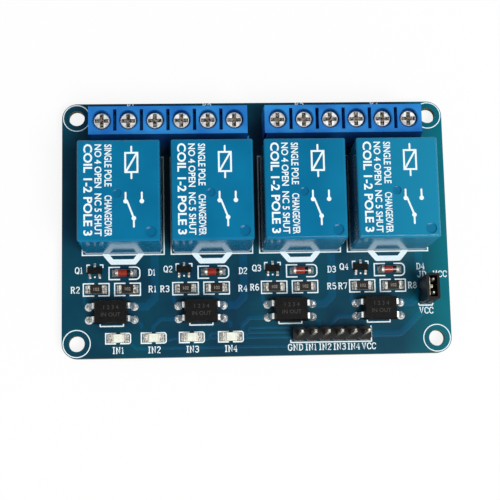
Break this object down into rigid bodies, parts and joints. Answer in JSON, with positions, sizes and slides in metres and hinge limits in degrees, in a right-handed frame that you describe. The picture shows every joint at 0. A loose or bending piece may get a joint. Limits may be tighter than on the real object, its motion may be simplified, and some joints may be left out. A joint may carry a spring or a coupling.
{
  "type": "relay module board",
  "caption": "Blue relay board with glossy box-shaped relays in a row, screw terminal blocks behind them, and optocouplers, small chips, indicator lamps and pin headers in front.",
  "frame": {"origin": "centre of the four mounting holes, on the board's underside", "axes": "+Z out of the component side, +X along the board's long side with the small components' strip towards -Y, +Y towards the wire side of the terminal blocks"},
  "size_m": [0.0762, 0.0508, 0.0185],
  "materials": {
    "board_laminate": "glass-fibre laminate under a glossy blue solder mask",
    "white_print": "screen-printed white ink",
    "cover_print": "pad-printed pale ink",
    "solder": "bright tin solder",
    "tinned_ends": "tinned end plating with solder",
    "black_epoxy": "moulded black epoxy",
    "diode_glass": "orange-red glass sleeve",
    "chip_ceramic": "ceramic chip under black overglaze",
    "lamp_lens": "milky moulded resin",
    "relay_plastic": "glossy moulded blue plastic",
    "base_plastic": "moulded dark blue plastic",
    "former_plastic": "moulded natural plastic",
    "copper_wire": "enamelled copper winding",
    "soft_iron": "plated soft iron",
    "contact_metal": "copper alloy strip with silver contacts",
    "block_plastic": "glossy moulded blue plastic",
    "screw_steel": "bright zinc-plated steel",
    "cage_steel": "nickel-plated steel",
    "tinned_brass": "tinned brass strip",
    "header_plastic": "moulded black plastic",
    "pin_plating": "thinly plated brass wire",
    "lead_metal": "tinned lead frame"
  },
  "bodies": {
    "board": {"pcb": "board_laminate", "legend_print": "white_print", "relay_marks": "cover_print", "through_hole_solder": "solder", "smd_end_caps": "tinned_ends", "transistors": "black_epoxy", "diodes": "diode_glass", "resistors": "chip_ceramic", "status_leds": "lamp_lens", "relay_1_cover": "relay_plastic", "relay_2_cover": "relay_plastic", "relay_3_cover": "relay_plastic", "relay_4_cover": "relay_plastic", "relay_bases": "base_plastic", "relay_bobbins": "former_plastic", "relay_coils": "copper_wire", "relay_yokes": "soft_iron", "relay_contacts": "contact_metal", "terminal_block_left": "block_plastic", "terminal_block_right": "block_plastic", "terminal_pins": "tinned_brass", "header_bases": "header_plastic", "header_pins": "pin_plating", "optocoupler_1": "black_epoxy", "optocoupler_2": "black_epoxy", "optocoupler_3": "black_epoxy", "optocoupler_4": "black_epoxy", "optocoupler_leads": "lead_metal"},
    "screw_1": {"terminal_screw_1": "screw_steel"},
    "cage_1": {"terminal_cage_1": "cage_steel"},
    "screw_2": {"terminal_screw_2": "screw_steel"},
    "cage_2": {"terminal_cage_2": "cage_steel"},
    "screw_3": {"terminal_screw_3": "screw_steel"},
    "cage_3": {"terminal_cage_3": "cage_steel"},
    "screw_4": {"terminal_screw_4": "screw_steel"},
    "cage_4": {"terminal_cage_4": "cage_steel"},
    "screw_5": {"terminal_screw_5": "screw_steel"},
    "cage_5": {"terminal_cage_5": "cage_steel"},
    "screw_6": {"terminal_screw_6": "screw_steel"},
    "cage_6": {"terminal_cage_6": "cage_steel"},
    "screw_7": {"terminal_screw_7": "screw_steel"},
    "cage_7": {"terminal_cage_7": "cage_steel"},
    "screw_8": {"terminal_screw_8": "screw_steel"},
    "cage_8": {"terminal_cage_8": "cage_steel"},
    "screw_9": {"terminal_screw_9": "screw_steel"},
    "cage_9": {"terminal_cage_9": "cage_steel"},
    "screw_10": {"terminal_screw_10": "screw_steel"},
    "cage_10": {"terminal_cage_10": "cage_steel"},
    "screw_11": {"terminal_screw_11": "screw_steel"},
    "cage_11": {"terminal_cage_11": "cage_steel"},
    "screw_12": {"terminal_screw_12": "screw_steel"},
    "cage_12": {"terminal_cage_12": "cage_steel"},
    "armature_1": {"relay_1_armature": "soft_iron"},
    "armature_2": {"relay_2_armature": "soft_iron"},
    "armature_3": {"relay_3_armature": "soft_iron"},
    "armature_4": {"relay_4_armature": "soft_iron"},
    "jumper": {"jumper_cap": "header_plastic", "jumper_clip": "tinned_brass"}
  },
  "joints": [
    {"name": "screw_1_turn", "type": "hinge", "parent": "board", "child": "screw_1", "pos_m": [-0.0296, 0.0194, 0.01022], "axis": [0, 0, -1], "range_deg": [0, 1800]},
    {"name": "cage_1_rise", "type": "slide", "parent": "board", "child": "cage_1", "axis": [0, 0, 1], "range_m": [0, 0.00225]},
    {"name": "screw_2_turn", "type": "hinge", "parent": "board", "child": "screw_2", "pos_m": [-0.02452, 0.0194, 0.01022], "axis": [0, 0, -1], "range_deg": [0, 1800]},
    {"name": "cage_2_rise", "type": "slide", "parent": "board", "child": "cage_2", "axis": [0, 0, 1], "range_m": [0, 0.00225]},
    {"name": "screw_3_turn", "type": "hinge", "parent": "board", "child": "screw_3", "pos_m": [-0.01944, 0.0194, 0.01022], "axis": [0, 0, -1], "range_deg": [0, 1800]},
    {"name": "cage_3_rise", "type": "slide", "parent": "board", "child": "cage_3", "axis": [0, 0, 1], "range_m": [0, 0.00225]},
    {"name": "screw_4_turn", "type": "hinge", "parent": "board", "child": "screw_4", "pos_m": [-0.01436, 0.0194, 0.01022], "axis": [0, 0, -1], "range_deg": [0, 1800]},
    {"name": "cage_4_rise", "type": "slide", "parent": "board", "child": "cage_4", "axis": [0, 0, 1], "range_m": [0, 0.00225]},
    {"name": "screw_5_turn", "type": "hinge", "parent": "board", "child": "screw_5", "pos_m": [-0.00928, 0.0194, 0.01022], "axis": [0, 0, -1], "range_deg": [0, 1800]},
    {"name": "cage_5_rise", "type": "slide", "parent": "board", "child": "cage_5", "axis": [0, 0, 1], "range_m": [0, 0.00225]},
    {"name": "screw_6_turn", "type": "hinge", "parent": "board", "child": "screw_6", "pos_m": [-0.0042, 0.0194, 0.01022], "axis": [0, 0, -1], "range_deg": [0, 1800]},
    {"name": "cage_6_rise", "type": "slide", "parent": "board", "child": "cage_6", "axis": [0, 0, 1], "range_m": [0, 0.00225]},
    {"name": "screw_7_turn", "type": "hinge", "parent": "board", "child": "screw_7", "pos_m": [0.0042, 0.0194, 0.01022], "axis": [0, 0, -1], "range_deg": [0, 1800]},
    {"name": "cage_7_rise", "type": "slide", "parent": "board", "child": "cage_7", "axis": [0, 0, 1], "range_m": [0, 0.00225]},
    {"name": "screw_8_turn", "type": "hinge", "parent": "board", "child": "screw_8", "pos_m": [0.00928, 0.0194, 0.01022], "axis": [0, 0, -1], "range_deg": [0, 1800]},
    {"name": "cage_8_rise", "type": "slide", "parent": "board", "child": "cage_8", "axis": [0, 0, 1], "range_m": [0, 0.00225]},
    {"name": "screw_9_turn", "type": "hinge", "parent": "board", "child": "screw_9", "pos_m": [0.01436, 0.0194, 0.01022], "axis": [0, 0, -1], "range_deg": [0, 1800]},
    {"name": "cage_9_rise", "type": "slide", "parent": "board", "child": "cage_9", "axis": [0, 0, 1], "range_m": [0, 0.00225]},
    {"name": "screw_10_turn", "type": "hinge", "parent": "board", "child": "screw_10", "pos_m": [0.01944, 0.0194, 0.01022], "axis": [0, 0, -1], "range_deg": [0, 1800]},
    {"name": "cage_10_rise", "type": "slide", "parent": "board", "child": "cage_10", "axis": [0, 0, 1], "range_m": [0, 0.00225]},
    {"name": "screw_11_turn", "type": "hinge", "parent": "board", "child": "screw_11", "pos_m": [0.02452, 0.0194, 0.01022], "axis": [0, 0, -1], "range_deg": [0, 1800]},
    {"name": "cage_11_rise", "type": "slide", "parent": "board", "child": "cage_11", "axis": [0, 0, 1], "range_m": [0, 0.00225]},
    {"name": "screw_12_turn", "type": "hinge", "parent": "board", "child": "screw_12", "pos_m": [0.0296, 0.0194, 0.01022], "axis": [0, 0, -1], "range_deg": [0, 1800]},
    {"name": "cage_12_rise", "type": "slide", "parent": "board", "child": "cage_12", "axis": [0, 0, 1], "range_m": [0, 0.00225]},
    {"name": "armature_1_swing", "type": "hinge", "parent": "board", "child": "armature_1", "pos_m": [-0.0261, -0.0026, 0.0118], "axis": [-1, 0, 0], "range_deg": [0, 3.15], "stiffness_Nm_per_rad": 0.02, "springref_deg": -5.73},
    {"name": "armature_2_swing", "type": "hinge", "parent": "board", "child": "armature_2", "pos_m": [-0.0087, -0.0026, 0.0118], "axis": [-1, 0, 0], "range_deg": [0, 3.15], "stiffness_Nm_per_rad": 0.02, "springref_deg": -5.73},
    {"name": "armature_3_swing", "type": "hinge", "parent": "board", "child": "armature_3", "pos_m": [0.0087, -0.0026, 0.0118], "axis": [-1, 0, 0], "range_deg": [0, 3.15], "stiffness_Nm_per_rad": 0.02, "springref_deg": -5.73},
    {"name": "armature_4_swing", "type": "hinge", "parent": "board", "child": "armature_4", "pos_m": [0.0261, -0.0026, 0.0118], "axis": [-1, 0, 0], "range_deg": [0, 3.15], "stiffness_Nm_per_rad": 0.02, "springref_deg": -5.73},
    {"name": "jumper_pull", "type": "slide", "parent": "board", "child": "jumper", "axis": [0, 0, 1], "range_m": [0, 0.007]}
  ],
  "couplings": [
    {"joint": "screw_1_turn", "follows": "cage_1_rise", "rad_per_m": 13962},
    {"joint": "screw_2_turn", "follows": "cage_2_rise", "rad_per_m": 13962},
    {"joint": "screw_3_turn", "follows": "cage_3_rise", "rad_per_m": 13962},
    {"joint": "screw_4_turn", "follows": "cage_4_rise", "rad_per_m": 13962},
    {"joint": "screw_5_turn", "follows": "cage_5_rise", "rad_per_m": 13962},
    {"joint": "screw_6_turn", "follows": "cage_6_rise", "rad_per_m": 13962},
    {"joint": "screw_7_turn", "follows": "cage_7_rise", "rad_per_m": 13962},
    {"joint": "screw_8_turn", "follows": "cage_8_rise", "rad_per_m": 13962},
    {"joint": "screw_9_turn", "follows": "cage_9_rise", "rad_per_m": 13962},
    {"joint": "screw_10_turn", "follows": "cage_10_rise", "rad_per_m": 13962},
    {"joint": "screw_11_turn", "follows": "cage_11_rise", "rad_per_m": 13962},
    {"joint": "screw_12_turn", "follows": "cage_12_rise", "rad_per_m": 13962}
  ]
}
